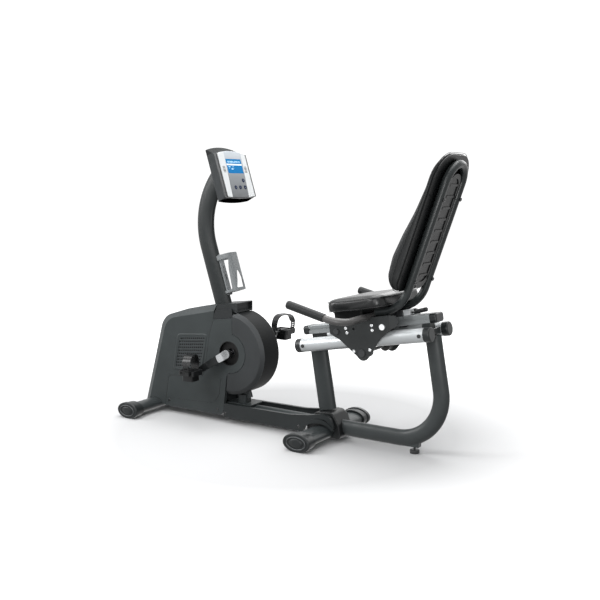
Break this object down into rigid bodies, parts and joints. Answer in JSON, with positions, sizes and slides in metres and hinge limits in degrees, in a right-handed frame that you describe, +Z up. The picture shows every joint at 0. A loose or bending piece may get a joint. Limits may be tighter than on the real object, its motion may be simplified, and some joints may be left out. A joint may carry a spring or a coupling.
{
  "type": "recumbent exercise bike",
  "caption": "Recumbent exercise bike: enclosed crank drive, console on a bent mast, bottle cage, seat with backrest and side handlebars sliding on inclined rails, steel base with end caps.",
  "frame": {"origin": "on the floor, midway along and across the whole bike", "axes": "+X from the console end to the seat end, +Y to the rider's right, +Z up"},
  "size_m": [1.7385, 0.6648, 1.3492],
  "materials": {
    "frame_paint": "satin powder coat",
    "plate_paint": "satin powder coat",
    "handlebar_paint": "satin powder coat",
    "back_frame_paint": "satin powder coat",
    "hub_plastic": "fine texture",
    "skirt_plastic": "fine texture",
    "cap_plastic": "fine texture",
    "housing_plastic": "fine texture",
    "panel_plastic": "fine texture",
    "cover_plastic": "fine texture",
    "grille_plastic": "fine texture",
    "top_cap_plastic": "fine texture",
    "cage_plastic": "satin",
    "console_plastic": "fine texture",
    "console_face": "satin",
    "display_glass": "glossy",
    "board": "satin",
    "bearing_steel": "ground",
    "belt_rubber": "matt",
    "screw_steel": "black oxide",
    "spindle_steel": "machined",
    "crank_steel": "gloss",
    "pedal_plastic": "moulded",
    "strap_plastic": "satin",
    "flywheel_iron": "machined",
    "axle_steel": "polished",
    "roller_plastic": "smooth",
    "silver_tube": "satin metallic paint",
    "rail_aluminium": "anodised",
    "grip_rubber": "matt foam",
    "pan_plastic": "fine texture",
    "seat_leather": "satin grain",
    "back_leather": "satin grain",
    "shell_plastic": "fine texture",
    "lock_plastic": "fine texture",
    "lock_steel": "satin",
    "lever_plastic": "fine texture",
    "foot_rubber": "matt",
    "key_plastic": "satin"
  },
  "bodies": {
    "base": {"front_crossbar": "frame_paint", "rear_crossbar": "frame_paint", "crossbar_end_caps": "cap_plastic", "base_beam": "frame_paint", "hub_sleeve": "hub_plastic", "beam_skirts": "skirt_plastic", "front_post": "frame_paint", "rear_post": "frame_paint", "seat_tubes": "silver_tube", "rail_profile": "rail_aluminium", "rail_end_caps": "cap_plastic", "front_shell_left": "housing_plastic", "front_shell_right": "housing_plastic", "side_panel_left": "panel_plastic", "side_panel_right": "panel_plastic", "round_cover_left": "cover_plastic", "round_cover_right": "cover_plastic", "side_grilles": "grille_plastic", "top_cap": "top_cap_plastic", "mast": "frame_paint", "bottle_cage": "cage_plastic", "console_back": "console_plastic", "console_front": "console_face", "display": "display_glass", "circuit_board": "board", "inner_frame": "frame_paint", "crank_bearings": "bearing_steel", "drive_belt": "belt_rubber", "frame_screws": "screw_steel"},
    "crankset": {"crank_spindle": "spindle_steel", "crank_arm_left": "crank_steel", "crank_arm_right": "crank_steel"},
    "left_pedal": {"pedal_left": "pedal_plastic", "pedal_strap_left": "strap_plastic"},
    "right_pedal": {"pedal_right": "pedal_plastic", "pedal_strap_right": "strap_plastic"},
    "flywheel": {"flywheel": "flywheel_iron"},
    "carriage": {"side_plate_left": "plate_paint", "side_plate_right": "plate_paint", "roller_axles": "axle_steel", "handlebar": "handlebar_paint", "hand_grips": "grip_rubber", "seat_deck": "plate_paint", "seat_pan": "pan_plastic", "seat_cushion": "seat_leather", "back_frame": "back_frame_paint", "back_shell": "shell_plastic", "back_cushion": "back_leather", "lock_housing": "lock_plastic", "lock_block": "lock_steel", "carriage_screws": "screw_steel"},
    "front_roller_pair": {"front_rollers": "roller_plastic"},
    "rear_roller_pair": {"rear_rollers": "roller_plastic"},
    "lower_roller_pair": {"lower_rollers": "roller_plastic"},
    "lever": {"lock_lever": "lever_plastic"},
    "foot": {"levelling_foot": "foot_rubber"},
    "console_key_upper": {"key_upper": "key_plastic"},
    "console_key_left": {"key_left": "key_plastic"},
    "console_key_middle": {"key_middle": "key_plastic"},
    "console_key_right": {"key_right": "key_plastic"}
  },
  "joints": [
    {"name": "crank_spin", "type": "hinge", "parent": "base", "child": "crankset", "pos_m": [-0.2952, 0, 0.3525], "axis": [0, 1, 0], "continuous": true},
    {"name": "left_pedal_spin", "type": "hinge", "parent": "crankset", "child": "left_pedal", "pos_m": [-0.43513, -0.197, 0.26506], "axis": [0, 1, 0], "continuous": true},
    {"name": "right_pedal_spin", "type": "hinge", "parent": "crankset", "child": "right_pedal", "pos_m": [-0.15527, 0.197, 0.43994], "axis": [0, 1, 0], "continuous": true},
    {"name": "flywheel_spin", "type": "hinge", "parent": "base", "child": "flywheel", "pos_m": [-0.5802, 0, 0.3], "axis": [0, 1, 0], "continuous": true},
    {"name": "seat_slide", "type": "slide", "parent": "base", "child": "carriage", "axis": [0.9854, 0, 0.1702], "range_m": [-0.2, 0.09]},
    {"name": "front_roller_spin", "type": "hinge", "parent": "carriage", "child": "front_roller_pair", "pos_m": [0.35248, 0, 0.5313], "axis": [0, 1, 0], "continuous": true},
    {"name": "rear_roller_spin", "type": "hinge", "parent": "carriage", "child": "rear_roller_pair", "pos_m": [0.57814, 0, 0.57028], "axis": [0, 1, 0], "continuous": true},
    {"name": "lower_roller_spin", "type": "hinge", "parent": "carriage", "child": "lower_roller_pair", "pos_m": [0.48057, 0, 0.44778], "axis": [0, 1, 0], "continuous": true},
    {"name": "lock_lever_lift", "type": "hinge", "parent": "carriage", "child": "lever", "pos_m": [0.63645, 0, 0.62043], "axis": [0, 1, 0], "range_deg": [-15, 0], "stiffness_Nm_per_rad": 0.6, "springref_deg": 17.19},
    {"name": "foot_turn", "type": "hinge", "parent": "base", "child": "foot", "pos_m": [0.6738, 0, 0], "axis": [0, 0, 1], "continuous": true},
    {"name": "key_upper_press", "type": "slide", "parent": "base", "child": "console_key_upper", "axis": [-0.9542, 0, -0.299], "range_m": [0, 0.001], "stiffness_N_per_m": 300},
    {"name": "key_left_press", "type": "slide", "parent": "base", "child": "console_key_left", "axis": [-0.9542, 0, -0.299], "range_m": [0, 0.001], "stiffness_N_per_m": 300},
    {"name": "key_middle_press", "type": "slide", "parent": "base", "child": "console_key_middle", "axis": [-0.9542, 0, -0.299], "range_m": [0, 0.001], "stiffness_N_per_m": 300},
    {"name": "key_right_press", "type": "slide", "parent": "base", "child": "console_key_right", "axis": [-0.9542, 0, -0.299], "range_m": [0, 0.001], "stiffness_N_per_m": 300}
  ],
  "couplings": [
    {"joint": "flywheel_spin", "follows": "crank_spin", "ratio": 5},
    {"joint": "front_roller_spin", "follows": "seat_slide", "rad_per_m": 45.045},
    {"joint": "rear_roller_spin", "follows": "seat_slide", "rad_per_m": 45.045},
    {"joint": "lower_roller_spin", "follows": "seat_slide", "rad_per_m": -51.813}
  ]
}
